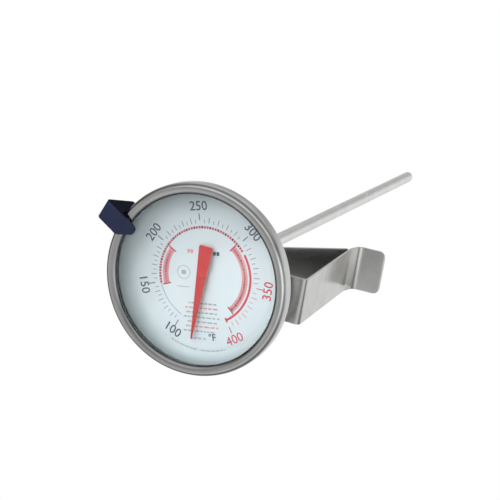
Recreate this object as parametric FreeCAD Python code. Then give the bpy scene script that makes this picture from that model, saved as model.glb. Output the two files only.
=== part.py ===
import FreeCAD, Part
import math
import os

# Dial thermometer with a bimetal stem, a rim marker and a spring clip for a pan's side.
# Millimetres. +Y runs along the stem from the dial to the tip, +Z is the dial's top.
# The origin is on the stem axis, at the back face of the ferrule, where the bare stem begins.

# ---- driving dimensions ----
HEAD_DIA = 54.0
HEAD_DEPTH = 11.2
STEM_DIA = 3.8
STEM_WALL = 0.35
STEM_LENGTH = 178.0
SHEET = 0.5
DIAL_DEPTH = 7.2
RUN_GAP = 0.05

# ---- stations along the stem, measured from the front of the bezel ----
FERRULE_BACK = HEAD_DEPTH + 1.7
TIP_Y = FERRULE_BACK + STEM_LENGTH

# ---- radii ----
RIM_R = HEAD_DIA / 2
STEM_R = STEM_DIA / 2
BORE_R = STEM_R - STEM_WALL
SPINDLE_R = 0.5
FERRULE_NECK_R = 3.0

UP = FreeCAD.Vector(0, 0, 1)
BACK = FreeCAD.Vector(0, 1, 0)
CENTRE = FreeCAD.Vector(0, 0, 0)


def at(x, y, z=0.0):
    """Point given with y measured from the front of the bezel."""
    return FreeCAD.Vector(x, y - FERRULE_BACK, z)


def face_of(points):
    """Flat face of a closed outline whose corners are plain points."""
    return Part.Face(Part.makePolygon(points + [points[0]]))


def turned(profile):
    """Ring or disc from (radius, y) corners, turned about the stem axis."""
    return face_of([at(r, y) for r, y in profile]).revolve(CENTRE, BACK, 360)


def round_bar(r, y_start, y_end):
    return Part.makeCylinder(r, y_end - y_start, at(0, y_start), BACK)


def tube(r_out, r_in, y_start, y_end):
    return round_bar(r_out, y_start, y_end).cut(round_bar(r_in, y_start - 1, y_end + 1))


def hex_bar(across_flats, y_start, y_end):
    corner_r = across_flats / math.sqrt(3)
    turns = [math.radians(60 * i) for i in range(6)]
    outline = [at(corner_r * math.cos(t), y_start, corner_r * math.sin(t)) for t in turns]
    return face_of(outline).extrude(BACK * (y_end - y_start))


def rounded_edges(shape, radius, wanted):
    """Fillet the edges for which wanted(edge) is true."""
    return shape.makeFillet(radius, [e for e in shape.Edges if wanted(e)])


# ---- head: the stack from the front is bezel lip, lens, gasket, dial rim, case flange ----
LIP_INNER_R = 23.8
LENS_R = 25.4
LENS_FRONT = 1.6
LENS_THICK = 1.4
GASKET_THICK = 0.8
DIAL_THICK = 0.3
FLANGE_R = 26.3
CASE_FRONT_R = 25.2
CASE_BACK_R = 23.9
CASE_CORNER = 1.6
HEM_R = 25.3
SKIRT_BEND = 0.8
DIAL_HOLE_R = 0.9
DIAL_FLAT_R = 20.6
DIAL_WALL_R = 24.0

LENS_BACK = LENS_FRONT + LENS_THICK
GASKET_BACK = LENS_BACK + GASKET_THICK
FLANGE_FRONT = GASKET_BACK + DIAL_THICK
FLANGE_BACK = FLANGE_FRONT + SHEET
SKIRT_BACK = FLANGE_BACK + SHEET


def make_bezel():
    """Rolled ring: inner lip over the lens, round nose, skirt folded under the case flange."""
    lip = LIP_INNER_R
    path = [at(lip, LENS_FRONT), at(lip + 0.25, 0.7), at(lip + 1.5, 0.0)]
    crest = at(RIM_R - 0.8, 0.45)
    side = at(RIM_R, 1.9)
    skirt = at(RIM_R, SKIRT_BACK - SKIRT_BEND)
    fold = at(RIM_R - SKIRT_BEND, SKIRT_BACK)
    hem = at(HEM_R, SKIRT_BACK)
    hem_in = at(HEM_R, FLANGE_BACK)
    inside = at(RIM_R - SHEET, FLANGE_BACK)
    inside_front = at(RIM_R - SHEET, LENS_FRONT)
    cut_off = SKIRT_BEND * (1 - math.sqrt(0.5))
    corner = at(RIM_R - cut_off, SKIRT_BACK - cut_off)
    edges = [
        Part.Arc(path[0], path[1], path[2]).toShape(),
        Part.Arc(path[2], crest, side).toShape(),
        Part.makeLine(side, skirt),
        Part.Arc(skirt, corner, fold).toShape(),
        Part.makeLine(fold, hem),
        Part.makeLine(hem, hem_in),
        Part.makeLine(hem_in, inside),
        Part.makeLine(inside, inside_front),
        Part.makeLine(inside_front, path[0]),
    ]
    return Part.Face(Part.Wire(edges)).revolve(CENTRE, BACK, 360)


def make_lens():
    disc = round_bar(LENS_R, LENS_FRONT, LENS_BACK)
    return rounded_edges(disc, 0.2, lambda e: e.Closed)


def make_lens_gasket():
    return tube(LENS_R + 0.3, LIP_INNER_R + 0.5, LENS_BACK, GASKET_BACK)


def make_dial():
    """Dished plate: flat scale, sloping wall up to a thin rim clamped under the gasket."""
    flat_r = DIAL_FLAT_R
    wall_top_r = DIAL_WALL_R
    t = DIAL_THICK
    return turned([
        (DIAL_HOLE_R, DIAL_DEPTH), (flat_r, DIAL_DEPTH), (flat_r + 1.4, DIAL_DEPTH - 0.5),
        (wall_top_r - 0.5, DIAL_DEPTH - 1.7), (wall_top_r, GASKET_BACK), (LENS_R, GASKET_BACK),
        (LENS_R, GASKET_BACK + t), (wall_top_r + t, GASKET_BACK + t),
        (wall_top_r - 0.5 + t, DIAL_DEPTH - 1.7 + t), (flat_r + 1.4 + t, DIAL_DEPTH - 0.5 + t),
        (flat_r + t, DIAL_DEPTH + t), (DIAL_HOLE_R, DIAL_DEPTH + t)])


def make_case():
    """Drawn cup with a front flange and a hole for the ferrule's neck."""
    wall_in_front = CASE_FRONT_R - SHEET
    wall_in_back = CASE_BACK_R - SHEET
    inner_back = HEAD_DEPTH - SHEET
    cup = turned([
        (FERRULE_NECK_R, inner_back), (wall_in_back - 1.2, inner_back), (wall_in_back, inner_back - 1.2),
        (wall_in_front, FLANGE_FRONT), (FLANGE_R, FLANGE_FRONT), (FLANGE_R, FLANGE_BACK),
        (CASE_FRONT_R, FLANGE_BACK), (CASE_BACK_R, HEAD_DEPTH), (FERRULE_NECK_R, HEAD_DEPTH)])

    def is_back_corner(edge):
        return edge.Closed and abs(edge.Curve.Radius - CASE_BACK_R) < 0.01
    return rounded_edges(cup, CASE_CORNER, is_back_corner)


# ---- pointer and its works ----
POINTER_FRONT = 5.9
POINTER_THICK = 0.4
POINTER_TIP_R = 18.0
POINTER_TAIL_R = 8.8
POINTER_DIAL_DEG = 190.2
POINTER_TAIL_HALF = 2.1
POINTER_TIP_HALF = 0.2
HUB_R = 1.3
COIL_TOP = 142.0
COIL_BOTTOM = 186.0
COIL_R = 1.2
COIL_TURNS = 14
STRIP_THICK = 0.25
COLLAR_R = 0.95
COLLAR_LENGTH = 3.0
SPINDLE_END = COIL_TOP - 1.2
ANCHOR_LENGTH = 1.2
ANCHOR_POST_LENGTH = 2.5


def make_pointer():
    """Flat wedge: broad tail on one side of the spindle, sharp tip on the other."""
    tail = POINTER_TAIL_HALF
    tip = POINTER_TIP_HALF
    outline = [(-tail, -POINTER_TAIL_R), (tail, -POINTER_TAIL_R), (tip, POINTER_TIP_R - 0.3),
               (0, POINTER_TIP_R), (-tip, POINTER_TIP_R - 0.3)]
    blade = face_of([at(x, POINTER_FRONT, z) for x, z in outline]).extrude(BACK * POINTER_THICK)
    blade = blade.cut(round_bar(SPINDLE_R, POINTER_FRONT - 1, POINTER_FRONT + 2))
    blade.rotate(CENTRE, BACK, POINTER_DIAL_DEG)
    return blade


def make_pointer_hub():
    return tube(HUB_R, SPINDLE_R, POINTER_FRONT + POINTER_THICK, DIAL_DEPTH - 0.15)


def make_spindle():
    rod = round_bar(SPINDLE_R, POINTER_FRONT - 0.1, SPINDLE_END)
    return rounded_edges(rod, 0.1, lambda e: e.Closed)


def make_coil_collar():
    return tube(COLLAR_R, SPINDLE_R, SPINDLE_END - COLLAR_LENGTH, SPINDLE_END)


def make_bimetal_coil():
    """Helical strip that winds up as it warms; its lower end is held by the anchor."""
    pitch = (COIL_BOTTOM - COIL_TOP) / COIL_TURNS
    strip_width = 0.6 * pitch
    path = Part.makeHelix(pitch, COIL_BOTTOM - COIL_TOP - strip_width, COIL_R)
    half = strip_width / 2
    outline = [FreeCAD.Vector(COIL_R + x, 0, z) for x, z in
               [(0, -half), (0, half), (-STRIP_THICK, half), (-STRIP_THICK, -half)]]
    section = Part.makePolygon(outline + [outline[0]])
    coil = Part.Wire(path.Edges).makePipeShell([section], True, True)
    coil.translate(FreeCAD.Vector(0, 0, half))
    coil.rotate(CENTRE, FreeCAD.Vector(1, 0, 0), -90)
    coil.translate(at(0, COIL_TOP))
    return coil


def make_coil_anchor():
    """Plug pressed into the tube under the coil, with a post inside the strip's last turns."""
    body = round_bar(BORE_R, COIL_BOTTOM, COIL_BOTTOM + ANCHOR_LENGTH)
    post_r = COIL_R - STRIP_THICK - 0.1
    post = round_bar(post_r, COIL_BOTTOM - ANCHOR_POST_LENGTH, COIL_BOTTOM)
    return body.fuse(post).removeSplitter()


# ---- stem ----
BUSH_LENGTH = 3.0
TUBE_END = TIP_Y - STEM_R
SENSING_LENGTH = 50.8
MARK_WIDTH = 1.2
MARK_DEPTH = 0.12
TUBE_START = HEAD_DEPTH - 3.4
SPIGOT_LENGTH = 1.5
UPPER_BUSH_Y = HEAD_DEPTH - 3.0
MIDDLE_BUSH_Y = 75.0
LOWER_BUSH_Y = COIL_TOP - 9.0


def make_stem_tube():
    """Thin tube with a shallow rolled ring that marks the shortest immersion."""
    wall = tube(STEM_R, BORE_R, TUBE_START, TUBE_END)
    mark_y = TIP_Y - SENSING_LENGTH
    roller_r = (MARK_WIDTH ** 2 / 4 + MARK_DEPTH ** 2) / (2 * MARK_DEPTH)
    return wall.cut(Part.makeTorus(STEM_R - MARK_DEPTH + roller_r, roller_r, at(0, mark_y), BACK))


def make_tip_plug():
    """Round nose, flush with the tube, with a spigot inside it."""
    bend = math.sqrt(0.5) * STEM_R
    spigot_y = TUBE_END - SPIGOT_LENGTH
    nose = Part.Arc(at(STEM_R, TUBE_END), at(bend, TUBE_END + bend), at(0, TIP_Y)).toShape()
    corners = [at(0, TIP_Y), at(0, spigot_y), at(BORE_R, spigot_y), at(BORE_R, TUBE_END),
               at(STEM_R, TUBE_END)]
    sides = [Part.makeLine(a, b) for a, b in zip(corners, corners[1:])]
    return Part.Face(Part.Wire([nose] + sides)).revolve(CENTRE, BACK, 360)


def make_guide_bush(y_start):
    return tube(BORE_R, SPINDLE_R + RUN_GAP, y_start, y_start + BUSH_LENGTH)


# ---- fixing of the stem to the case ----
WASHER_R = 5.4
WASHER_THICK = 0.5
FERRULE_R = 5.8
FERRULE_ROUND = 0.5
NECK_LENGTH = 2.6
NUT_FLATS = 8.0
NUT_HEIGHT = 1.7


def make_sealing_washer():
    return tube(WASHER_R, FERRULE_NECK_R, HEAD_DEPTH, HEAD_DEPTH + WASHER_THICK)


def make_ferrule():
    """Turned collar: thin flange outside the case, threaded neck through it."""
    flange = round_bar(FERRULE_R, HEAD_DEPTH + WASHER_THICK, FERRULE_BACK)
    flange = rounded_edges(flange, FERRULE_ROUND, lambda e: e.Closed and e.CenterOfMass.y > -0.01)
    neck = round_bar(FERRULE_NECK_R, HEAD_DEPTH - NECK_LENGTH, HEAD_DEPTH + WASHER_THICK)
    return flange.fuse(neck).cut(round_bar(STEM_R, 0, 2 * HEAD_DEPTH)).removeSplitter()


def make_ferrule_nut():
    nut = hex_bar(NUT_FLATS, HEAD_DEPTH - SHEET - NUT_HEIGHT, HEAD_DEPTH - SHEET)
    return nut.cut(round_bar(FERRULE_NECK_R, 0, 2 * HEAD_DEPTH))


# ---- temperature marker: a wedge that straddles the bezel and slides round it ----
MARKER_DEG = -56.4
MARKER_WIDTH = 5.8
MARKER_RIDGE_R = 33.0
MARKER_GAP = 0.2
MARKER_PLATE = 1.2
MARKER_BACK_Y = 10.4
MARKER_NOSE_R = 21.7
MARKER_FRONT_R = 25.7
MARKER_FOOT_R = 29.6
NOSE_ROOT_R = 26.2
NOSE_SHOULDER_R = 25.4


def make_temperature_marker():
    """Shark-fin wedge with a slot for the bezel's edge and a nose that dips towards the lens."""
    front = -MARKER_GAP - MARKER_PLATE
    slot_front = -MARKER_GAP
    slot_back = SKIRT_BACK + MARKER_GAP
    slot_out = RIM_R + MARKER_GAP
    grip_r = CASE_FRONT_R + 0.9
    half = MARKER_WIDTH / 2
    across = FreeCAD.Vector(MARKER_WIDTH, 0, 0)
    side = [
        (MARKER_FRONT_R, front), (MARKER_RIDGE_R - 0.7, 0.2), (MARKER_RIDGE_R, 1.0),
        (MARKER_RIDGE_R - 0.2, 1.8), (MARKER_FOOT_R, MARKER_BACK_Y - 0.2),
        (MARKER_FOOT_R - 0.8, MARKER_BACK_Y), (grip_r + 0.3, 8.4), (grip_r, 7.8),
        (grip_r, slot_back), (slot_out, slot_back), (slot_out, slot_front), (24.6, slot_front)]
    wedge = face_of([at(-half, y, r) for r, y in side]).extrude(across)
    nose_side = [
        (NOSE_ROOT_R, front), (NOSE_SHOULDER_R + 0.2, front), (MARKER_NOSE_R + 1.9, -0.9),
        (MARKER_NOSE_R, 0.6), (MARKER_NOSE_R, 1.3), (MARKER_NOSE_R + 0.8, 1.3),
        (MARKER_NOSE_R + 1.8, slot_front), (NOSE_ROOT_R, slot_front)]
    nose = face_of([at(-half, y, r) for r, y in nose_side]).extrude(across)
    plan = [(-half, NOSE_ROOT_R), (-half, NOSE_SHOULDER_R), (-0.8, MARKER_NOSE_R), (0.8, MARKER_NOSE_R),
            (half - 0.6, NOSE_SHOULDER_R - 2.0), (half, NOSE_SHOULDER_R), (half, NOSE_ROOT_R)]
    nose = nose.common(face_of([at(x, front - 1, z) for x, z in plan]).extrude(BACK * 4))
    marker = wedge.fuse(nose).removeSplitter()
    marker.rotate(CENTRE, BACK, MARKER_DEG)
    return marker


# ---- pan clip: one folded strip, threaded on the stem through two holes ----
CLIP_TURN_DEG = 10.1
CLIP_WIDTH = 13.2
CLIP_THICK = 0.6
CLIP_SIDE_SHIFT = -1.8
CLIP_HOLE_R = STEM_R + RUN_GAP
CLIP_BEND = 1.2
CLIP_TAIL_BEND = 2.4
CLIP_NECK_BEND = 6.0
TAIL_CORNER = 2.0
LEG_Y = 14.2
LEG_END_X = -11.0
FOLD_X = 27.2
PINCH_X = 24.9
PINCH_Y = 56.0
NECK_Y = 61.3
TAIL_X = 34.2
LEAF_GAP = 0.75


def strip_along(corners, bends):
    """Solid strip of even thickness along corners (x, y), bent round each inner corner."""
    points = [at(x, y) for x, y in corners]
    edges = []
    start = points[0]
    for i, bend in enumerate(bends, start=1):
        to_last = (points[i - 1] - points[i]).normalize()
        to_next = (points[i + 1] - points[i]).normalize()
        opening = to_last.getAngle(to_next)
        reach = bend / math.tan(opening / 2)
        first = points[i] + to_last * reach
        last = points[i] + to_next * reach
        middle_way = (to_last + to_next).normalize()
        middle = points[i] + middle_way * (bend / math.sin(opening / 2) - bend)
        edges += [Part.makeLine(start, first), Part.Arc(first, middle, last).toShape()]
        start = last
    edges.append(Part.makeLine(start, points[-1]))
    centre_line = Part.Wire(edges)
    run = (points[1] - points[0]).normalize()
    side_step = run.cross(UP) * (CLIP_THICK / 2)
    low = points[0] + UP * (CLIP_SIDE_SHIFT - CLIP_WIDTH / 2)
    high = points[0] + UP * (CLIP_SIDE_SHIFT + CLIP_WIDTH / 2)
    section = [low - side_step, low + side_step, high + side_step, high - side_step]
    return centre_line.makePipeShell([Part.makePolygon(section + [section[0]])], True, False)


def make_pan_clip():
    """Leg and outer panel form a corner; the inner leaf springs back against the panel."""
    corners = [
        (TAIL_X, NECK_Y + 0.8), (PINCH_X + 1.1, NECK_Y), (PINCH_X, PINCH_Y), (FOLD_X, LEG_Y),
        (LEG_END_X, LEG_Y), (PINCH_X - LEAF_GAP, PINCH_Y - 0.4)]
    bends = [CLIP_TAIL_BEND, CLIP_NECK_BEND, CLIP_BEND, CLIP_BEND]
    strip = strip_along(corners, bends)
    tail = [e for e in strip.Edges if e.Length < CLIP_THICK * 1.01 and e.CenterOfMass.x > TAIL_X - 0.5]
    strip = strip.makeFillet(TAIL_CORNER, tail)
    leaf_run = (corners[-1][0] - LEG_END_X) / (corners[-1][1] - LEG_Y)
    leaf_y = LEG_Y - LEG_END_X / leaf_run
    for hole_y, reach in ((LEG_Y, 3), (leaf_y, 6)):
        strip = strip.cut(round_bar(CLIP_HOLE_R, hole_y - reach, hole_y + reach))
    strip.rotate(CENTRE, BACK, CLIP_TURN_DEG)
    return strip


MAKERS = {
    "bezel": make_bezel,
    "lens": make_lens,
    "lens_gasket": make_lens_gasket,
    "dial": make_dial,
    "case": make_case,
    "pointer": make_pointer,
    "pointer_hub": make_pointer_hub,
    "spindle": make_spindle,
    "coil_collar": make_coil_collar,
    "bimetal_coil": make_bimetal_coil,
    "coil_anchor": make_coil_anchor,
    "stem_tube": make_stem_tube,
    "tip_plug": make_tip_plug,
    "upper_guide_bush": lambda: make_guide_bush(UPPER_BUSH_Y),
    "middle_guide_bush": lambda: make_guide_bush(MIDDLE_BUSH_Y),
    "lower_guide_bush": lambda: make_guide_bush(LOWER_BUSH_Y),
    "sealing_washer": make_sealing_washer,
    "ferrule": make_ferrule,
    "ferrule_nut": make_ferrule_nut,
    "temperature_marker": make_temperature_marker,
    "pan_clip": make_pan_clip,
}

os.makedirs("parts", exist_ok=True)
for name, make in MAKERS.items():
    shape = make()
    if not shape.isValid() or not shape.Solids:
        raise ValueError(f"{name} is not a valid solid")
    shape.exportStep(f"parts/{name}.step")
    box = shape.BoundBox
    print(f"{name:20s} {shape.Volume:9.2f} mm3  {len(shape.Solids)} solid  "
          f"x {box.XMin:7.2f} {box.XMax:7.2f}  y {box.YMin:7.2f} {box.YMax:7.2f}  "
          f"z {box.ZMin:7.2f} {box.ZMax:7.2f}")
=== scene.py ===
"""Looks of the dial thermometer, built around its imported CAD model."""
import math
import random

import bmesh
import bpy
from mathutils import Matrix, Vector


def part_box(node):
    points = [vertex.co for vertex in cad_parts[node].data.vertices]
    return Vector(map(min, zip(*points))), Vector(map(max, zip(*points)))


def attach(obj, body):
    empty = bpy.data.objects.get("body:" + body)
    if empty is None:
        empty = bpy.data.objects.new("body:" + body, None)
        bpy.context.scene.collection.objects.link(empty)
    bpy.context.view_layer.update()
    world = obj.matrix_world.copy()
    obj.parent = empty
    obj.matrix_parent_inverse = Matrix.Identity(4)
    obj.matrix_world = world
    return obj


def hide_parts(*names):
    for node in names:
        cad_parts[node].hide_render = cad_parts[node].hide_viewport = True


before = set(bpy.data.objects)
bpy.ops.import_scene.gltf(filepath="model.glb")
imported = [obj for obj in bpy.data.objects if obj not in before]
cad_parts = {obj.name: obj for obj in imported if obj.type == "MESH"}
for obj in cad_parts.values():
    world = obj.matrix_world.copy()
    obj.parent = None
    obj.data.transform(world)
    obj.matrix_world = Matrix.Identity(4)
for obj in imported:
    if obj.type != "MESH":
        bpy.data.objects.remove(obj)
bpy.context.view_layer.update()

MM = 0.001
RNG = random.Random(7)
DIAL_THICK = 0.3 * MM

# ---- places taken from the frame, in metres ----
RIM_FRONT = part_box("bezel")[0].y
RIM_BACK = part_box("bezel")[1].y
RIM_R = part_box("bezel")[1].z
CASE_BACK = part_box("case")[1].y
LENS_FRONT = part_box("lens")[0].y
LENS_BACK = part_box("lens")[1].y
LENS_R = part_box("lens")[1].z
DIAL_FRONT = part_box("dial")[1].y - DIAL_THICK
STEM_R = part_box("tip_plug")[1].z
STEM_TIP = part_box("tip_plug")[1].y
TUBE_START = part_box("stem_tube")[0].y
TUBE_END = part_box("stem_tube")[1].y
POINTER_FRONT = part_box("pointer")[0].y


# ---------------------------------------------------------------- node helpers
def new_material(name):
    mat = bpy.data.materials.new(name)
    mat.use_nodes = True
    nodes = mat.node_tree.nodes
    shader = nodes["Principled BSDF"]
    return mat, nodes, mat.node_tree.links, shader


def object_coords(nodes, links, stretch=(1, 1, 1)):
    """Object coordinates, stretched so that a noise becomes a grain."""
    coords = nodes.new("ShaderNodeTexCoord")
    mapping = nodes.new("ShaderNodeMapping")
    mapping.inputs["Scale"].default_value = stretch
    links.new(coords.outputs["Object"], mapping.inputs["Vector"])
    return mapping.outputs["Vector"]


def noise(nodes, links, vector, scale, detail=3.0, rough=0.55):
    tex = nodes.new("ShaderNodeTexNoise")
    tex.inputs["Scale"].default_value = scale
    tex.inputs["Detail"].default_value = detail
    tex.inputs["Roughness"].default_value = rough
    links.new(vector, tex.inputs["Vector"])
    return tex.outputs["Fac"]


def ramp(nodes, links, value, stops):
    """Colour ramp with (position, colour) stops."""
    node = nodes.new("ShaderNodeValToRGB")
    elements = node.color_ramp.elements
    while len(elements) < len(stops):
        elements.new(0.5)
    for element, (position, colour) in zip(elements, stops):
        element.position = position
        element.color = (*colour, 1.0)
    links.new(value, node.inputs["Fac"])
    return node.outputs["Color"]


def spread(nodes, links, value, low, high):
    """Map the middle of a noise, 0.3 to 0.7, onto low to high."""
    node = nodes.new("ShaderNodeMapRange")
    node.inputs["From Min"].default_value = 0.3
    node.inputs["From Max"].default_value = 0.7
    node.inputs["To Min"].default_value = low
    node.inputs["To Max"].default_value = high
    links.new(value, node.inputs["Value"])
    return node.outputs["Result"]


def bump(nodes, links, shader, height, strength, distance):
    node = nodes.new("ShaderNodeBump")
    node.inputs["Strength"].default_value = strength
    node.inputs["Distance"].default_value = distance
    links.new(height, node.inputs["Height"])
    links.new(node.outputs["Normal"], shader.inputs["Normal"])


def shade_by_radius(nodes, links, coords, colour, near, far, stops):
    """Paint shade: multiply a colour by a ramp that runs from one distance off the stem axis to another."""
    parts = nodes.new("ShaderNodeSeparateXYZ")
    links.new(coords, parts.inputs["Vector"])
    flat = nodes.new("ShaderNodeCombineXYZ")
    links.new(parts.outputs["X"], flat.inputs["X"])
    links.new(parts.outputs["Z"], flat.inputs["Z"])
    radius = nodes.new("ShaderNodeVectorMath")
    radius.operation = "LENGTH"
    links.new(flat.outputs["Vector"], radius.inputs[0])
    share = nodes.new("ShaderNodeMapRange")
    share.inputs["From Min"].default_value = near
    share.inputs["From Max"].default_value = far
    links.new(radius.outputs["Value"], share.inputs["Value"])
    both = nodes.new("ShaderNodeVectorMath")
    both.operation = "MULTIPLY"
    links.new(colour, both.inputs[0])
    links.new(ramp(nodes, links, share.outputs["Result"], stops), both.inputs[1])
    return both.outputs["Vector"]


def metal(name, dark, light, rough, grain=(1, 1, 1), grain_scale=900, grain_depth=0.15, lip_painted_shade=None):
    """Metal with cloudy tone, uneven polish and a directional grain; lip_painted_shade paints shade that
    darkens a round lip.
    """
    mat, nodes, links, shader = new_material(name)
    shader.inputs["Metallic"].default_value = 1.0
    coords = object_coords(nodes, links)
    tone = ramp(nodes, links, noise(nodes, links, coords, 160, 4), [(0.35, dark), (0.68, light)])
    if lip_painted_shade:
        tone = shade_by_radius(nodes, links, coords, tone, *lip_painted_shade)
    links.new(tone, shader.inputs["Base Color"])
    lines = noise(nodes, links, object_coords(nodes, links, grain), grain_scale, 5, 0.7)
    links.new(spread(nodes, links, lines, rough[0], rough[1]), shader.inputs["Roughness"])
    bump(nodes, links, shader, lines, grain_depth, 0.02 * MM)
    return mat


def plastic(name, dark, light, rough, coat=0.0, speckle=1200, gloss=0.5):
    """Moulded plastic or paint: faint tone shift, fine orange peel, uneven gloss."""
    mat, nodes, links, shader = new_material(name)
    coords = object_coords(nodes, links)
    tone = noise(nodes, links, coords, 120, 3)
    links.new(ramp(nodes, links, tone, [(0.3, dark), (0.7, light)]), shader.inputs["Base Color"])
    grain = noise(nodes, links, coords, speckle, 4, 0.6)
    links.new(spread(nodes, links, grain, rough[0], rough[1]), shader.inputs["Roughness"])
    shader.inputs["Specular IOR Level"].default_value = gloss
    shader.inputs["Coat Weight"].default_value = coat
    shader.inputs["Coat Roughness"].default_value = 0.12
    bump(nodes, links, shader, grain, 0.05, 0.02 * MM)
    return mat


def glass(name):
    """Clear pane that lets lamps through to the dial behind it."""
    mat, nodes, links, shader = new_material(name)
    shader.inputs["Transmission Weight"].default_value = 1.0
    shader.inputs["IOR"].default_value = 1.45
    smears = noise(nodes, links, object_coords(nodes, links), 70, 5)
    tint = ramp(nodes, links, smears, [(0.3, (0.95, 0.975, 0.98)), (0.7, (0.985, 0.995, 1.0))])
    links.new(tint, shader.inputs["Base Color"])
    links.new(spread(nodes, links, smears, 0.0, 0.035), shader.inputs["Roughness"])
    clear = nodes.new("ShaderNodeBsdfTransparent")
    clear.inputs["Color"].default_value = (0.93, 0.955, 0.96, 1)
    mix = nodes.new("ShaderNodeMixShader")
    rays = nodes.new("ShaderNodeLightPath")
    links.new(rays.outputs["Is Shadow Ray"], mix.inputs["Fac"])
    links.new(shader.outputs["BSDF"], mix.inputs[1])
    links.new(clear.outputs["BSDF"], mix.inputs[2])
    links.new(mix.outputs["Shader"], nodes["Material Output"].inputs["Surface"])
    return mat


def dial_paint():
    """Blue-white enamel, with painted shade that greys it up the dished wall."""
    mat, nodes, links, shader = new_material("dial_enamel")
    coords = object_coords(nodes, links)
    tone = noise(nodes, links, coords, 60, 3)
    face = ramp(nodes, links, tone, [(0.3, (0.64, 0.705, 0.735)), (0.7, (0.68, 0.74, 0.765))])
    wall_start = 19.5 * MM
    wall_end = 24.0 * MM
    # Painted shade: the enamel darkens up the dished wall towards the lip.
    wall = [(0.0, (1.0, 1.0, 1.0)), (0.35, (0.87, 0.89, 0.88)), (0.8, (0.56, 0.59, 0.585)),
            (1.0, (0.34, 0.36, 0.36))]
    shaded = shade_by_radius(nodes, links, coords, face, wall_start, wall_end, wall)
    links.new(shaded, shader.inputs["Base Color"])
    grain = noise(nodes, links, coords, 1500, 3)
    links.new(spread(nodes, links, grain, 0.30, 0.42), shader.inputs["Roughness"])
    shader.inputs["Coat Weight"].default_value = 0.25
    shader.inputs["Coat Roughness"].default_value = 0.2
    bump(nodes, links, shader, grain, 0.05, 0.01 * MM)
    return mat


ROUND_GRAIN = (1, 0.05, 1)
CLIP_GRAIN = (0.25, 0.25, 3)
# Painted shade on the bezel's lip next to the lens: from and to this distance off the stem axis, and the
# shade painted between them.
LIP_PAINTED_SHADE = (23.8 * MM, 25.2 * MM, [(0.0, (0.30,) * 3), (0.35, (0.55,) * 3), (0.8, (1.0,) * 3)])
MATS = {
    "bezel": metal("bezel_steel", (0.50, 0.51, 0.51), (0.58, 0.58, 0.57), (0.10, 0.18),
                   ROUND_GRAIN, 500, 0.02, LIP_PAINTED_SHADE),
    "case": metal("case_steel", (0.52, 0.53, 0.53), (0.60, 0.60, 0.59), (0.24, 0.34), ROUND_GRAIN, 700, 0.04),
    "stem": metal("stem_steel", (0.66, 0.66, 0.65), (0.74, 0.73, 0.72), (0.20, 0.28), ROUND_GRAIN, 700, 0.02),
    "clip": metal("clip_steel", (0.57, 0.567, 0.55), (0.64, 0.636, 0.62), (0.20, 0.28),
                  CLIP_GRAIN, 900, 0.05),
    # Darker copy of the clip steel: painted shade on the inner face of the clip's leaf.
    "clip_painted_shade": metal("clip_steel_painted_shade", (0.34, 0.345, 0.345), (0.40, 0.405, 0.40), (0.20, 0.28),
                        CLIP_GRAIN, 900, 0.05),
    "wire": metal("spindle_steel", (0.50, 0.50, 0.50), (0.60, 0.60, 0.60), (0.28, 0.40)),
    "bimetal": metal("bimetal_strip", (0.42, 0.38, 0.32), (0.56, 0.52, 0.46), (0.30, 0.45)),
    "brass": metal("brass", (0.60, 0.44, 0.20), (0.74, 0.57, 0.28), (0.22, 0.36)),
    "lens": glass("lens_glass"),
    "dial": dial_paint(),
    "rubber": plastic("gasket_rubber", (0.02, 0.02, 0.02), (0.05, 0.05, 0.05), (0.55, 0.75), 0, 900),
    "bush": plastic("bush_plastic", (0.74, 0.74, 0.72), (0.82, 0.82, 0.80), (0.35, 0.5)),
    "marker": plastic("marker_plastic", (0.008, 0.012, 0.042), (0.012, 0.018, 0.058), (0.38, 0.50), 0.05, 500,
                      0.35),
    # Near-black matt copy of the marker plastic: painted shade on one end cap.
    "marker_painted_shade": plastic("marker_plastic_matt_painted_shade", (0.002, 0.003, 0.010), (0.004, 0.005, 0.014), (0.7, 0.8),
                            gloss=0.08),
    "pointer": plastic("pointer_red", (0.46, 0.010, 0.014), (0.56, 0.020, 0.022), (0.45, 0.58)),
    # Paler orange-red on the pointer's cut edges: painted highlight.
    "pointer_edge_painted_highlight": plastic("pointer_edge_painted_highlight", (0.80, 0.25, 0.12), (0.86, 0.34, 0.20), (0.35, 0.5)),
    "slate": plastic("print_slate", (0.035, 0.05, 0.075), (0.06, 0.08, 0.11), (0.45, 0.6)),
    "red": plastic("print_red", (0.58, 0.025, 0.05), (0.68, 0.05, 0.075), (0.45, 0.6)),
    "pink": plastic("print_pink", (0.68, 0.24, 0.26), (0.78, 0.34, 0.35), (0.45, 0.6)),
    "grey": plastic("print_grey", (0.30, 0.34, 0.37), (0.40, 0.44, 0.47), (0.5, 0.65)),
}


# ---------------------------------------------------------------- mesh helpers
def add_piece(name, verts, faces, materials, body, replaced=(), smooth_deg=35, face_slots=None):
    """Mesh piece riding on a body; face_slots gives each face its material number."""
    mesh = bpy.data.meshes.new(name)
    mesh.from_pydata([tuple(v) for v in verts], [], faces)
    for key in materials:
        mesh.materials.append(MATS[key])
    if face_slots:
        mesh.polygons.foreach_set("material_index", face_slots)
    mesh.validate()
    mesh.shade_smooth()
    mesh.set_sharp_from_angle(angle=math.radians(smooth_deg))
    obj = bpy.data.objects.new(name, mesh)
    bpy.context.scene.collection.objects.link(obj)
    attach(obj, body)
    if replaced:
        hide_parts(*replaced)
    return obj


def arc(centre, radius, start_deg, end_deg, steps=10):
    """Points of an arc in the (r, y) plane, 0 degrees outward and 90 towards the tip."""
    points = []
    for i in range(steps + 1):
        t = math.radians(start_deg + (end_deg - start_deg) * i / steps)
        points.append((centre[0] + radius * math.cos(t), centre[1] + radius * math.sin(t)))
    return points


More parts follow.
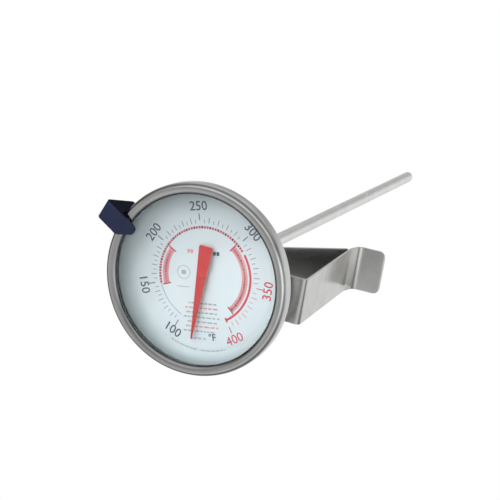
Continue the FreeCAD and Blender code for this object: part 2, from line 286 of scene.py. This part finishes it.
def turned(name, profile, materials, body, replaced=(), segments=256, smooth_deg=35):
    """Closed (r, y) profile turned about the stem axis; points on the axis become one vertex."""
    verts = []
    rings = []
    for r, y in profile:
        if r < 1e-7:
            rings.append([len(verts)] * segments)
            verts.append((0, y, 0))
            continue
        rings.append(list(range(len(verts), len(verts) + segments)))
        for i in range(segments):
            t = 2 * math.pi * i / segments
            verts.append((r * math.sin(t), y, r * math.cos(t)))
    faces = []
    for a, b in zip(rings, rings[1:] + rings[:1]):
        for i in range(segments):
            j = (i + 1) % segments
            corners = [a[i], a[j], b[j], b[i]]
            unique = list(dict.fromkeys(corners))
            if len(unique) > 2:
                faces.append(unique)
    obj = add_piece(name, verts, faces, materials, body, replaced, smooth_deg)
    return outward(obj)


def outward(obj):
    """Turn every face outward."""
    bm = bmesh.new()
    bm.from_mesh(obj.data)
    bmesh.ops.recalc_face_normals(bm, faces=bm.faces)
    bm.to_mesh(obj.data)
    bm.free()
    return obj


def bevel(obj, width, segments, angle_deg=30):
    """Round the edges sharper than an angle."""
    mod = obj.modifiers.new("bevel", "BEVEL")
    mod.width = width
    mod.segments = segments
    mod.limit_method = "ANGLE"
    mod.angle_limit = math.radians(angle_deg)


def apply_modifiers(obj):
    """Keep the shape that the modifiers make, and drop them."""
    bpy.context.view_layer.update()
    graph = bpy.context.evaluated_depsgraph_get()
    mesh = bpy.data.meshes.new_from_object(obj.evaluated_get(graph), depsgraph=graph)
    obj.modifiers.clear()
    obj.data = mesh


# ---------------------------------------------------------------- head
def build_bezel():
    """Rolled ring: curled lip, round nose, skirt folded under the case flange."""
    lip = 23.8 * MM
    crest_r = lip + 1.75 * MM
    inner_wide = crest_r - lip
    inner_deep = 1.45 * MM
    outer_wide = RIM_R - crest_r
    outer_deep = 2.1 * MM
    skirt_top = RIM_FRONT + 2.6 * MM
    skirt_in = RIM_R - 0.6 * MM
    bend = 0.8 * MM
    hem_r = 25.3 * MM
    hem_front = RIM_BACK - 0.5 * MM
    # A little clear of the glass, because faces in one plane render as speckle.
    under = LENS_FRONT - 0.04 * MM
    steps = 16
    quarter = [math.pi / 2 * k / steps for k in range(steps + 1)]
    inner = [(crest_r - inner_wide * math.cos(t), inner_deep * (1 - math.sin(t))) for t in quarter[:-1]]
    outer = [(crest_r + outer_wide * math.sin(t), outer_deep * (1 - math.cos(t))) for t in quarter]
    profile = [(r, RIM_FRONT + deep) for r, deep in inner + outer] + [(RIM_R, skirt_top)]
    profile += arc((RIM_R - bend, RIM_BACK - bend), bend, 0, 90, 10)
    profile += [(hem_r, RIM_BACK), (hem_r, hem_front), (skirt_in, hem_front), (skirt_in, under), (lip, under)]
    return turned("bezel_ring", profile, ["bezel"], "head", ["bezel"])


def build_case():
    """Drawn cup with a rolled corner and a pressed ring in its back."""
    sheet = 0.5 * MM
    front_r = 25.2 * MM
    back_r = 23.9 * MM
    flange_r = 26.3 * MM
    flange_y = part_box("case")[0].y
    corner = 1.6 * MM
    neck = 3.0 * MM
    ring = 11.0 * MM
    ring_foot = 1.2 * MM
    ring_flat = 0.5 * MM
    ring_floor = CASE_BACK - 0.18 * MM
    profile = [(neck, CASE_BACK), (ring - ring_foot, CASE_BACK)]
    profile += [(ring - ring_flat, ring_floor), (ring + ring_flat, ring_floor)]
    profile += [(ring + ring_foot, CASE_BACK)]
    profile += list(reversed(arc((back_r - corner, CASE_BACK - corner), corner, 0, 90, 12)))
    profile += [(front_r, flange_y + sheet), (flange_r, flange_y + sheet), (flange_r, flange_y)]
    profile += [(front_r - sheet, flange_y)]
    profile += arc((back_r - corner, CASE_BACK - corner), corner - sheet, 0, 90, 8)
    profile += [(neck, CASE_BACK - sheet)]
    return turned("rear_case", profile, ["case"], "head", ["case"])


def build_lens():
    edge = 0.2 * MM
    profile = [(0, LENS_FRONT)]
    profile += arc((LENS_R - edge, LENS_FRONT + edge), edge, 270, 360, 4)
    profile += arc((LENS_R - edge, LENS_BACK - edge), edge, 0, 90, 4)
    profile += [(0, LENS_BACK)]
    return turned("lens_pane", profile, ["lens"], "head", ["lens"], 128, 60)


def build_dial():
    """Dished plate: flat scale and a concave wall up to the clamped rim."""
    low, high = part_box("dial")
    t = DIAL_THICK
    hole_r = 0.9 * MM
    flat_r = 20.6 * MM
    top_r = 24.0 * MM
    rim_y = low.y
    lead = 0.2 * MM
    sweep = arc((flat_r, rim_y + lead), top_r - flat_r, 90, 8, 18)
    depth = (DIAL_FRONT - rim_y - lead) / (top_r - flat_r)
    wall = [(r, rim_y + lead + (y - rim_y - lead) * depth) for r, y in sweep]
    front = [(hole_r, DIAL_FRONT)] + wall + [(top_r, rim_y), (high.z, rim_y)]
    back = [(r + 0.6 * t, y + t) for r, y in reversed(wall)]
    profile = front + [(high.z, rim_y + t), (top_r + t, rim_y + t)] + back + [(hole_r, DIAL_FRONT + t)]
    return turned("dial_plate", profile, ["dial"], "head", ["dial"])


# ---------------------------------------------------------------- printed scale
PRINT_FRONT = DIAL_FRONT - 0.03 * MM
PRINT_BACK = DIAL_FRONT + 0.01 * MM
# Middle of the print, in millimetres from the spindle.
PRINT_X = 0.55
PRINT_Z = 0.2
# Clock angle of each figure. The steps are uneven, and most of them widen upward.
FIGURE_STEP = 50
FIGURE_DEG = {100: -148.5, 150: -102.0, 200: -54.3, 250: -5.6, 300: 46.9, 350: 98.4, 400: 152.6}
LOWEST = min(FIGURE_DEG)
HIGHEST = max(FIGURE_DEG)
RED_FROM = 350
INNER_FIGURES = (100, 150, 200, 350)
UPRIGHT_FIGURES = (200, 250, 300)


def dial_deg(value):
    """Clock angle of a temperature, read between the two nearest figures."""
    low = min(HIGHEST - FIGURE_STEP, value // FIGURE_STEP * FIGURE_STEP)
    share = (value - low) / FIGURE_STEP
    return FIGURE_DEG[low] * (1 - share) + FIGURE_DEG[low + FIGURE_STEP] * share


def scale_ink(value):
    return "red" if value >= RED_FROM else "slate"


def polar(r_mm, deg):
    """Point of the print, whose middle stands slightly off the spindle."""
    t = math.radians(deg)
    return Vector(((PRINT_X + r_mm * math.sin(t)) * MM, PRINT_FRONT, (PRINT_Z + r_mm * math.cos(t)) * MM))


class Print:
    """Collects flat printed shapes into one thin raised mesh."""

    def __init__(self, keys):
        self.keys = keys
        self.verts = []
        self.faces = []
        self.slots = []

    def add_face(self, points, key):
        """One closed outline, as a thin slab let into the dial."""
        first = len(self.verts)
        count = len(points)
        self.verts += [Vector(p) for p in points]
        self.verts += [Vector((p[0], PRINT_BACK, p[2])) for p in points]
        front = list(range(first, first + count))
        back = list(range(first + count, first + 2 * count))
        self.faces.append(front)
        self.faces.append(back[::-1])
        for i in range(count):
            j = (i + 1) % count
            self.faces.append([front[j], front[i], back[i], back[j]])
        self.slots += [self.keys.index(key)] * (count + 2)

    def tick(self, r_in, r_out, deg, width, key):
        across = Vector((math.cos(math.radians(deg)), 0, -math.sin(math.radians(deg)))) * (width * MM / 2)
        inner = polar(r_in, deg)
        outer = polar(r_out, deg)
        self.add_face([inner - across, inner + across, outer + across, outer - across], key)

    def band(self, r_in, r_out, start_deg, end_deg, key, step=2.0):
        """Ring sector."""
        steps = max(1, round((end_deg - start_deg) / step))
        turns = [start_deg + (end_deg - start_deg) * i / steps for i in range(steps + 1)]
        for a, b in zip(turns, turns[1:]):
            self.add_face([polar(r_in, a), polar(r_in, b), polar(r_out, b), polar(r_out, a)], key)

    def disc(self, r, deg, size, key, sides=14):
        middle = polar(r, deg)
        points = []
        for i in range(sides):
            t = 2 * math.pi * i / sides
            points.append(middle + Vector((math.cos(t), 0, math.sin(t))) * (size * MM / 2))
        self.add_face(points, key)

    def dash(self, x, z, length, height, key):
        middle = Vector((x * MM, PRINT_FRONT, z * MM))
        along = Vector((length * MM / 2, 0, 0))
        up = Vector((0, 0, height * MM / 2))
        corners = [middle - along - up, middle + along - up, middle + along + up, middle - along + up]
        self.add_face(corners, key)

    def text(self, words, size, r, deg, flip, key, stroke=0.0, squeeze=1.0):
        """Flat words centred at (r, deg), tops outward, or inward when flip is true."""
        curve = bpy.data.curves.new("numeral", "FONT")
        curve.body = words
        curve.size = size * MM
        curve.align_x = "CENTER"
        curve.align_y = "CENTER"
        # A stroke offset closes the counter of a 4.
        curve.offset = 0 if "4" in words else stroke * MM
        curve.resolution_u = 3
        obj = bpy.data.objects.new("numeral", curve)
        bpy.context.scene.collection.objects.link(obj)
        bpy.context.view_layer.update()
        graph = bpy.context.evaluated_depsgraph_get()
        mesh = bpy.data.meshes.new_from_object(obj.evaluated_get(graph))
        turn = math.radians(deg + (180 if flip else 0))
        right = Vector((math.cos(turn), 0, -math.sin(turn))) * squeeze
        up = Vector((math.sin(turn), 0, math.cos(turn)))
        centre = polar(r, deg)
        first = len(self.verts)
        for v in mesh.vertices:
            self.verts.append(centre + right * v.co.x + up * v.co.y)
        for poly in mesh.polygons:
            self.faces.append([first + i for i in poly.vertices])
            self.slots.append(self.keys.index(key))
        bpy.data.objects.remove(obj)
        bpy.data.meshes.remove(mesh)
        bpy.data.curves.remove(curve)

    def build(self, name):
        return add_piece(name, self.verts, self.faces, self.keys, "head", (), 30, self.slots)


def build_scale():
    """Ticks every 5 degrees Fahrenheit, figures every 50."""
    ink = Print(["slate", "red"])
    for value in range(LOWEST, HIGHEST + 1, 5):
        key = scale_ink(value)
        deg = dial_deg(value)
        if value % FIGURE_STEP == 0:
            ink.tick(15.2, 17.1, deg, 0.24, key)
        elif value % 10 == 0:
            ink.tick(14.4, 16.0, deg, 0.15, key)
        else:
            ink.tick(14.4, 15.4, deg, 0.13, key)
    for value in FIGURE_DEG:
        r = 18.6 if value in INNER_FIGURES else 19.0
        flip = value not in UPRIGHT_FIGURES
        ink.text(str(value), 3.6, r, dial_deg(value), flip, scale_ink(value), stroke=0.03, squeeze=0.98)
    ink.text("°F", 2.6, 17.2, 173, True, "slate", stroke=0.04)
    return ink.build("scale_print")


def build_rings():
    """Ring round the middle, clockwise a thin run-in, dots and a solid line, and two pale bands."""
    ink = Print(["red", "pink", "slate", "grey"])
    ring = 13.3
    ink.band(ring - 0.12, ring + 0.12, 212, 258, "grey")
    dots_from = 257
    dots_to = 420
    pitch = 3.4
    for i in range(int((dots_to - dots_from) / pitch)):
        start = dots_from + i * pitch
        key = "slate" if i % 3 == 2 else "red"
        ink.band(ring - 0.32, ring + 0.32, start, start + pitch * 0.74, key)
    ink.band(ring - 0.30, ring + 0.30, 60, 152, "red")
    ink.tick(ring - 0.7, ring + 0.7, 152, 0.4, "red")
    for start, end in ((45, 140), (255, 305)):
        ink.band(10.8, 12.5, start, end, "pink")
        for deg in range(start + 4, end - 2, 4):
            ink.disc(11.65, deg, 0.40 + 0.25 * RNG.random(), "red")
        ink.tick(10.4, 12.9, start, 0.35, "red")
        ink.tick(10.4, 12.9, end, 0.35, "red")
    return ink.build("ring_print")


# Height, left end and right end of each row of dashes, in millimetres.
NOTE_ROWS = [(-7.6, -4.4, 4.0), (-8.9, -5.4, 4.6), (-10.2, -5.0, 4.2), (-11.5, -5.8, 4.6),
             (-12.8, -4.6, 4.8), (-14.1, -5.2, 4.4), (-15.4, -5.8, 3.8), (-17.4, -3.6, 0.4)]
PINK_ROWS = (1, 5)


def build_notes():
    """Plain dashes, a ring and blocks where the small notes and marks stand, and a broken arc below."""
    ink = Print(["grey", "pink", "slate"])
    for n, (z, left, right) in enumerate(NOTE_ROWS):
        x = left
        while x < right - 0.5:
            length = 0.5 + 1.0 * RNG.random()
            ink.dash(x + length / 2, z, min(length, right - x), 0.42, "pink" if n in PINK_ROWS else "grey")
            x += length + 0.35
    round_x = -5.7
    round_z = 0.7
    round_in = 1.75
    round_out = 1.92
    sides = 30
    for i in range(sides):
        a, b = (2 * math.pi * (i + k) / sides for k in (0, 1))
        corners = ((round_in, a), (round_in, b), (round_out, b), (round_out, a))
        ink.add_face([Vector(((round_x + r * math.sin(t)) * MM, PRINT_FRONT,
                              (round_z + r * math.cos(t)) * MM)) for r, t in corners], "grey")
    ink.dash(round_x, round_z, 1.3, 1.1, "grey")
    ink.dash(round_x - 0.2, -3.3, 3.6, 0.2, "grey")
    for x in (-4.2, -3.3):
        ink.dash(x, 6.7, 0.7, 1.0, "pink")
    for x in (3.4, 4.4):
        ink.dash(x, 6.5, 0.8, 1.0, "slate")
    deg = 163.0
    arc_end = 209
    while deg < arc_end:
        step = 1.2 + 2.4 * RNG.random()
        if not 184 < deg < 187:
            ink.band(20.75, 21.05, deg, deg + step, "grey")
        deg += step + 0.9
    return ink.build("note_print")


# ---------------------------------------------------------------- pointer
POINTER_DEG = 190.2


def build_pointer():
    """Red wedge with a broad softened tail, a fine tip and edges painted paler as a highlight."""
    tail = 8.8
    tip = 18.0
    half = [(0.0, tip), (0.2, tip - 0.35), (2.03, -tail + 0.55), (1.9, -tail + 0.15), (1.6, -tail)]
    outline = half + [(-x, r) for x, r in reversed(half[1:])]
    turn = math.radians(POINTER_DEG)
    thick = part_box("pointer")[1].y - POINTER_FRONT
    verts = []
    for y in (POINTER_FRONT, POINTER_FRONT + thick):
        for x, r in outline:
            across = x * MM
            along = r * MM
            verts.append((across * math.cos(turn) + along * math.sin(turn), y,
                          -across * math.sin(turn) + along * math.cos(turn)))
    count = len(outline)
    faces = [list(range(count)), list(range(2 * count - 1, count - 1, -1))]
    slots = [0, 0]
    for i in range(count):
        j = (i + 1) % count
        faces.append([j, i, i + count, j + count])
        slots.append(1)
    obj = add_piece("pointer_blade", verts, faces, ["pointer", "pointer_edge_painted_highlight"], "pointer",
                    ["pointer"], 30, slots)
    bevel(outward(obj), 0.09 * MM, 2)
    boss_r = 0.9 * MM
    crown = POINTER_FRONT - 0.15 * MM
    foot = POINTER_FRONT + thick
    boss = [(0, crown), (boss_r * 0.7, crown + 0.03 * MM), (boss_r, POINTER_FRONT + 0.05 * MM),
            (boss_r, foot), (0, foot)]
    turned("pointer_boss", boss, ["pointer"], "pointer", (), 48)


# ---------------------------------------------------------------- stem
STEM_BORE = 1.55 * MM
MARK_TO_TIP = 50.8 * MM


def build_stem():
    """Tube with a shallow immersion mark rolled round it."""
    inner = STEM_BORE
    mark = STEM_TIP - MARK_TO_TIP
    half = 0.6 * MM
    hold = 0.4 * MM
    dip = 0.05 * MM
    profile = [(inner, TUBE_START), (STEM_R, TUBE_START), (STEM_R, mark - half - hold), (STEM_R, mark - half)]
    for step in range(1, 8):
        t = math.pi * step / 8
        profile.append((STEM_R - dip * math.sin(t), mark - half * math.cos(t)))
    profile += [(STEM_R, mark + half), (STEM_R, mark + half + hold), (STEM_R, TUBE_END), (inner, TUBE_END)]
    return turned("stem_sheath", profile, ["stem"], "head", ["stem_tube"], 96, 40)


def build_tip():
    """Plug in the tube's end, with a round nose."""
    plug_start = TUBE_END - 1.5 * MM
    profile = [(0, plug_start), (STEM_BORE, plug_start), (STEM_BORE, TUBE_END)]
    profile += arc((0, TUBE_END), STEM_R, 0, 90, 20)
    return turned("stem_tip", profile, ["stem"], "head", ["tip_plug"], 96, 40)


def build_ferrule():
    """Flanged collar where the stem leaves the case, dished round the stem."""
    low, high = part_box("ferrule")
    flange = high.z
    flange_y = high.y - 1.2 * MM
    neck = 3.0 * MM
    edge = 0.4 * MM
    profile = [(STEM_R, low.y), (neck, low.y), (neck, flange_y), (flange, flange_y)]
    profile += arc((flange - edge, high.y - edge), edge, 0, 90, 6)
    dish = high.y - 0.15 * MM
    profile += [(STEM_R + 1.1 * MM, high.y), (STEM_R + 0.7 * MM, dish), (STEM_R, dish)]
    return turned("stem_ferrule", profile, ["stem"], "head", ["ferrule"], 128, 40)


# ---------------------------------------------------------------- marker
MARKER_DEG = -56.4
# Cosine of the widest angle at which a face still counts as looking one way.
SAME_WAY = 0.97


def prism(name, outline, axis_from, axis_to):
    """Closed prism between two copies of an outline; axis_from and axis_to map a point."""
    verts = [axis_from(p) for p in outline] + [axis_to(p) for p in outline]
    count = len(outline)
    faces = [list(range(count)), list(range(2 * count - 1, count - 1, -1))]
    faces += [[(i + 1) % count, i, i + count, (i + 1) % count + count] for i in range(count)]
    mesh = bpy.data.meshes.new(name)
    mesh.from_pydata(verts, [], faces)
    obj = bpy.data.objects.new(name, mesh)
    bpy.context.scene.collection.objects.link(obj)
    return outward(obj)


def boolean(obj, other, operation):
    """Join, cut or intersect an object with another, which is used up."""
    mod = obj.modifiers.new("join", "BOOLEAN")
    mod.operation = operation
    mod.solver = "EXACT"
    mod.object = other
    apply_modifiers(obj)
    bpy.data.objects.remove(other)
    return obj


def finish_shape(obj, key, body, replaced, smooth_deg):
    """Give a cut shape its material and its place in the frame."""
    obj.data.materials.clear()
    obj.data.materials.append(MATS[key])
    obj.data.shade_smooth()
    obj.data.set_sharp_from_angle(angle=math.radians(smooth_deg))
    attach(obj, body)
    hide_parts(replaced)
    return obj


def recolour(piece, facing, key):
    """Give the faces that look one way another, darker material, as painted shade."""
    piece.data.materials.append(MATS[key])
    for face in piece.data.polygons:
        if face.normal.dot(facing) > SAME_WAY:
            face.material_index = len(piece.data.materials) - 1


def build_marker():
    """Shark-fin wedge over the rim, with a nose that dips towards the lens."""
    gap = 0.2
    front = -gap - 1.2
    half = 2.9
    skirt = (RIM_BACK - RIM_FRONT) / MM + gap
    slot_out = RIM_R / MM + gap
    grip = 26.1
    ridge = 33.0
    nose_r = 21.7
    back = 10.4

    def on_rim(x, y, r):
        return (x * MM, RIM_FRONT + y * MM, r * MM)

    side = [(25.7, front), (ridge - 0.7, 0.2), (ridge, 1.0), (ridge - 0.2, 1.8), (29.6, back - 0.2),
            (28.8, back), (grip + 0.3, 8.4), (grip, 7.8), (grip, skirt), (slot_out, skirt), (slot_out, -gap),
            (24.6, -gap)]
    wedge = prism("rim_marker", side, lambda p: on_rim(-half, p[1], p[0]), lambda p: on_rim(half, p[1], p[0]))
    # The nose stops this far inside the wedge's faces, so that the union has no shared faces.
    shy = 0.001
    root = 26.2
    nose_side = [(root, front + shy), (25.6, front + shy), (23.6, -0.9), (nose_r, 0.6), (nose_r, 1.3),
                 (22.5, 1.3), (23.5, -gap), (root, -gap)]
    nose = prism("nose", nose_side, lambda p: on_rim(shy - half, p[1], p[0]),
                 lambda p: on_rim(half - shy, p[1], p[0]))
    plan = [(-half, root), (-half, 25.4), (-0.9, nose_r + 0.15), (-0.4, nose_r), (0.4, nose_r),
            (0.9, nose_r + 0.15), (2.3, 23.4), (half, 25.4), (half, root)]
    reach = 3
    cutter = prism("cutter", plan, lambda p: on_rim(p[0], -reach, p[1]), lambda p: on_rim(p[0], reach, p[1]))
    boolean(nose, cutter, "INTERSECT")
    marker = boolean(wedge, nose, "UNION")
    turn = math.radians(MARKER_DEG)
    marker.data.transform(Matrix.Rotation(turn, 4, "Y"))
    bevel(marker, 0.2 * MM, 3, 25)
    piece = finish_shape(marker, "marker", "marker", "temperature_marker", 40)
    # The clockwise end cap gets the near-black matt plastic, as painted shade.
    clockwise = Matrix.Rotation(turn, 3, "Y") @ Vector((1, 0, 0))
    recolour(piece, clockwise, "marker_painted_shade")
    return piece


# ---------------------------------------------------------------- pan clip
CLIP_TURN = math.radians(10.1)
# Plan of the strip's centre line, from its tail to the end of its inner leaf, and the radius of
# each bend in that line, in millimetres.
CLIP_CORNERS = [(34.2, 62.1), (26.0, 61.3), (24.9, 56.0), (27.2, 14.2), (-11.0, 14.2), (24.15, 55.6)]
CLIP_BENDS = [2.4, 6.0, 1.2, 1.2]
CLIP_THICK = 0.6
TAIL_CORNER = 2.0
CLIP_MIDDLE = -1.8
CLIP_HALF = 6.6
CLIP_LOW = CLIP_MIDDLE - CLIP_HALF
CLIP_HIGH = CLIP_MIDDLE + CLIP_HALF
CLIP_Y0 = RIM_FRONT / MM


def clip_path():
    """Points and directions along the strip's centre line, in the clip's own plan."""
    points = [Vector(c) for c in CLIP_CORNERS]
    path = [points[0]]
    for i, bend in enumerate(CLIP_BENDS, start=1):
        to_last = (points[i - 1] - points[i]).normalized()
        to_next = (points[i + 1] - points[i]).normalized()
        opening = to_last.angle(to_next)
        reach = bend / math.tan(opening / 2)
        centre = points[i] + (to_last + to_next).normalized() * (bend / math.sin(opening / 2))
        first = points[i] + to_last * reach - centre
        last = points[i] + to_next * reach - centre
        sweep = first.angle_signed(last)
        steps = 14
        for k in range(steps + 1):
            t = -sweep * k / steps
            turned_arm = Vector((first.x * math.cos(t) - first.y * math.sin(t),
                                 first.x * math.sin(t) + first.y * math.cos(t)))
            path.append(centre + turned_arm)
    path.append(points[-1])
    first_run = path[1] - path[0]
    steps = 8
    tail = [path[0] + first_run.normalized() * TAIL_CORNER * k / steps for k in range(1, steps + 1)]
    return path[:1] + tail + path[1:]


def build_clip():
    """Folded strip with softly rounded edges and two holes for the stem."""
    path = clip_path()
    edge = 0.16
    flat = CLIP_THICK / 2
    ring = []
    for sx, sz, start in ((1, 1, 0), (-1, 1, 90), (-1, -1, 180), (1, -1, 270)):
        for k in range(4):
            t = math.radians(start + 30 * k)
            ring.append((sx * (flat - edge) + edge * math.cos(t), sz, edge * math.sin(t)))
    verts = []
    for i, p in enumerate(path):
        before = path[max(i - 1, 0)]
        after = path[min(i + 1, len(path) - 1)]
        run = (after - before).normalized()
        side = Vector((run.y, -run.x))
        left = min((p - path[0]).length, TAIL_CORNER)
        trim = TAIL_CORNER - math.sqrt(TAIL_CORNER ** 2 - (TAIL_CORNER - left) ** 2)
        for offset, sz, rounding in ring:
            end = (CLIP_HIGH - edge - trim) if sz > 0 else (CLIP_LOW + edge + trim)
            q = p + side * offset
            verts.append((q.x * MM, (q.y + CLIP_Y0) * MM, (end + rounding) * MM))
    count = len(ring)
    rows = len(path)
    faces = [list(range(count)), list(range(rows * count - 1, (rows - 1) * count - 1, -1))]
    for i in range(rows - 1):
        for k in range(count):
            m = (k + 1) % count
            a = i * count
            b = a + count
            faces.append([a + k, b + k, b + m, a + m])
    mesh = bpy.data.meshes.new("pan_clip_strip")
    mesh.from_pydata(verts, [], faces)
    clip = bpy.data.objects.new("pan_clip_strip", mesh)
    bpy.context.scene.collection.objects.link(clip)
    outward(clip)
    hole_r = STEM_R / MM + 0.05
    leaf_start, leaf_end = CLIP_CORNERS[-2:]
    leaf_run = (leaf_end[0] - leaf_start[0]) / (leaf_end[1] - leaf_start[1])
    leaf_y = leaf_start[1] - leaf_start[0] / leaf_run
    sides = 48
    turns = [2 * math.pi * k / sides for k in range(sides)]
    rim = [(hole_r * math.cos(t), hole_r * math.sin(t)) for t in turns]
    for hole_y, reach in ((leaf_start[1], 3), (leaf_y, 6)):
        low = (hole_y - reach + CLIP_Y0) * MM
        high = (hole_y + reach + CLIP_Y0) * MM
        drill = prism("drill", rim, lambda p, y=low: (p[0] * MM, y, p[1] * MM),
                      lambda p, y=high: (p[0] * MM, y, p[1] * MM))
        boolean(clip, drill, "DIFFERENCE")
    clip.data.transform(Matrix.Rotation(CLIP_TURN, 4, "Y"))
    piece = finish_shape(clip, "clip", "clip", "pan_clip", 50)
    # The faces that look into the fold get the darker steel, as painted shade.
    inward = Matrix.Rotation(CLIP_TURN, 3, "Y") @ Vector((1, -leaf_run, 0)).normalized()
    recolour(piece, inward, "clip_painted_shade")
    return piece


# ---------------------------------------------------------------- carried-over nodes
KEPT = {
    "lens_gasket": "rubber", "sealing_washer": "rubber", "pointer_hub": "brass", "ferrule_nut": "brass",
    "coil_collar": "brass", "coil_anchor": "brass", "spindle": "wire", "bimetal_coil": "bimetal",
    "upper_guide_bush": "bush", "middle_guide_bush": "bush", "lower_guide_bush": "bush",
}


def dress_kept_nodes():
    """Give each CAD node that stays its procedural material."""
    for node, key in KEPT.items():
        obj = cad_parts[node]
        for material_slot in obj.material_slots:
            material_slot.material = MATS[key]


# ---------------------------------------------------------------- stage, light and camera
def seen_white(nodes, links, other):
    """Plain white where the camera looks straight at it, and the other shader for reflected light."""
    white = nodes.new("ShaderNodeEmission")
    white.inputs["Strength"].default_value = 1.0
    mix = nodes.new("ShaderNodeMixShader")
    rays = nodes.new("ShaderNodeLightPath")
    links.new(rays.outputs["Is Camera Ray"], mix.inputs["Fac"])
    links.new(other, mix.inputs[1])
    links.new(white.outputs["Emission"], mix.inputs[2])
    return mix.outputs["Shader"]


def build_stage():
    """White floor far below the object, hidden from reflections."""
    mat, nodes, links, shader = new_material("stage_white")
    shader.inputs["Base Color"].default_value = (0.72, 0.72, 0.72, 1)
    shader.inputs["Roughness"].default_value = 0.9
    links.new(seen_white(nodes, links, shader.outputs["BSDF"]), nodes["Material Output"].inputs["Surface"])
    half = 6.0
    level = -0.16
    mesh = bpy.data.meshes.new("floor")
    mesh.from_pydata([(-half, -half, level), (half, -half, level), (half, half, level), (-half, half, level)],
                     [], [[0, 1, 2, 3]])
    mesh.materials.append(mat)
    floor = bpy.data.objects.new("floor", mesh)
    floor.visible_glossy = False
    bpy.context.scene.collection.objects.link(floor)


# Brightness of the studio along each axis, from -1 at 0.0 to +1 at 1.0.
STUDIO = {
    "X": [(0.0, 0.55), (0.12, 0.75), (0.35, 1.0), (0.60, 1.0), (0.80, 1.1), (0.92, 1.8), (1.0, 2.3)],
    "Y": [(0.0, 0.52), (0.06, 0.56), (0.13, 0.85), (0.30, 0.85), (0.42, 0.40), (0.50, 0.24), (0.68, 0.22),
          (0.80, 0.60), (0.92, 0.95), (1.0, 0.95)],
    "Z": [(0.0, 0.8), (0.30, 0.9), (0.42, 1.0), (0.55, 0.9), (0.68, 0.5), (0.80, 1.0), (1.0, 1.3)],
}


def build_world():
    """Studio with a dark band round the object's middle, which draws the lines on the metal."""
    world = bpy.data.worlds.new("studio")
    bpy.context.scene.world = world
    world.use_nodes = True
    nodes = world.node_tree.nodes
    links = world.node_tree.links
    background = nodes["Background"]
    coords = nodes.new("ShaderNodeTexCoord")
    parts = nodes.new("ShaderNodeSeparateXYZ")
    links.new(coords.outputs["Generated"], parts.inputs["Vector"])
    tint = None
    for axis, stops in STUDIO.items():
        share = unit_range(nodes, links, parts.outputs[axis])
        tone = ramp(nodes, links, share, [(place, (level,) * 3) for place, level in stops])
        if tint is None:
            tint = tone
            continue
        both = nodes.new("ShaderNodeVectorMath")
        both.operation = "MULTIPLY"
        links.new(tint, both.inputs[0])
        links.new(tone, both.inputs[1])
        tint = both.outputs["Vector"]
    links.new(tint, background.inputs["Color"])
    background.inputs["Strength"].default_value = 1.0
    seen = seen_white(nodes, links, background.outputs["Background"])
    links.new(seen, nodes["World Output"].inputs["Surface"])


def unit_range(nodes, links, value):
    """Map -1..1 onto 0..1."""
    node = nodes.new("ShaderNodeMapRange")
    node.inputs["From Min"].default_value = -1.0
    links.new(value, node.inputs["Value"])
    return node.outputs["Result"]


def area_light(name, place, target, size, power):
    """Soft lamp that doesn't show in reflections."""
    light = bpy.data.lights.new(name, "AREA")
    light.shape = "RECTANGLE"
    light.size = size[0]
    light.size_y = size[1]
    light.energy = power
    obj = bpy.data.objects.new(name, light)
    obj.location = place
    obj.rotation_euler = (Vector(target) - Vector(place)).to_track_quat("-Z", "Y").to_euler()
    obj.visible_glossy = False
    bpy.context.scene.collection.objects.link(obj)


def build_lights():
    centre = (0, 0, 0)
    area_light("key", (-0.6, -0.9, 0.95), centre, (1.6, 1.6), 22)
    area_light("fill", (1.2, -0.55, 0.25), centre, (0.7, 1.2), 3)


# Fitted to the outline of the rim and the run of the stem in the photograph.
CAMERA_AZIMUTH_DEG = 23.13
CAMERA_ELEVATION_DEG = 11.855
CAMERA_DISTANCE = 458.54 * MM
CAMERA_LENS = 121.46
CAMERA_SENSOR = 36
AIM_RIGHT = 15.62
AIM_UP = 8.54


def build_camera():
    """View from the front right and a little above, framed on the dial and stem."""
    azimuth = math.radians(CAMERA_AZIMUTH_DEG)
    elevation = math.radians(CAMERA_ELEVATION_DEG)
    look = Vector((-math.sin(azimuth) * math.cos(elevation), math.cos(azimuth) * math.cos(elevation),
                   -math.sin(elevation)))
    right = Vector((math.cos(azimuth), math.sin(azimuth), 0))
    up = right.cross(look)
    rim_centre = Vector((0, RIM_FRONT, 0))
    aim = rim_centre + right * AIM_RIGHT * MM + up * AIM_UP * MM
    camera = bpy.data.cameras.new("camera")
    camera.sensor_width = CAMERA_SENSOR
    camera.lens = CAMERA_LENS
    camera.clip_start = 0.01
    obj = bpy.data.objects.new("camera", camera)
    obj.location = aim - look * CAMERA_DISTANCE
    obj.rotation_euler = look.to_track_quat("-Z", "Y").to_euler()
    bpy.context.scene.collection.objects.link(obj)
    bpy.context.scene.camera = obj


build_camera()
build_stage()
build_world()
build_lights()
build_bezel()
build_case()
build_lens()
build_dial()
build_scale()
build_rings()
build_notes()
build_pointer()
build_stem()
build_tip()
build_ferrule()
build_marker()
build_clip()
dress_kept_nodes()
bpy.context.scene.view_settings.view_transform = "Standard"
